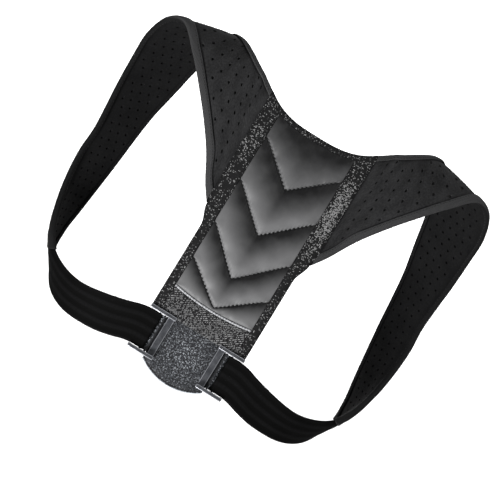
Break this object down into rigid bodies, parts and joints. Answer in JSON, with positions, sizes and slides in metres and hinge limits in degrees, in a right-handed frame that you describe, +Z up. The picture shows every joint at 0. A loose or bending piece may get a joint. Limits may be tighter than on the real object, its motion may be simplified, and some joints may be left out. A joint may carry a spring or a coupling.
{
  "type": "posture corrector",
  "caption": "Posture corrector with a quilted leather back panel, perforated shoulder pads, elastic straps and metal strap buckles, in its worn form.",
  "frame": {"origin": "midway between the two shoulders, at the height where the pads bear on them", "axes": "+X to the wearer's right, +Y the way the wearer faces, +Z up"},
  "size_m": [0.4636, 0.1827, 0.3913],
  "materials": {
    "leather": "satin",
    "grain": "matte",
    "piping": "satin",
    "neoprene": "matte",
    "weave": "matte",
    "elastic": "matte",
    "metal": "polished"
  },
  "bodies": {
    "root": {"back_lining": "neoprene", "quilted_panel": "leather", "hem_piping": "piping", "lower_band": "weave", "neck_binding": "weave", "side_tape_left": "weave", "side_tape_right": "weave", "edge_binding_left": "weave", "edge_binding_right": "weave", "shoulder_pad_left": "neoprene", "shoulder_pad_right": "neoprene", "neck_side_binding_left": "weave", "neck_side_binding_right": "weave", "arm_side_binding_left": "weave", "arm_side_binding_right": "weave", "elastic_strap_left": "elastic", "elastic_strap_right": "elastic", "lower_tab": "grain", "buckle_left": "metal", "buckle_right": "metal"}
  },
  "joints": []
}
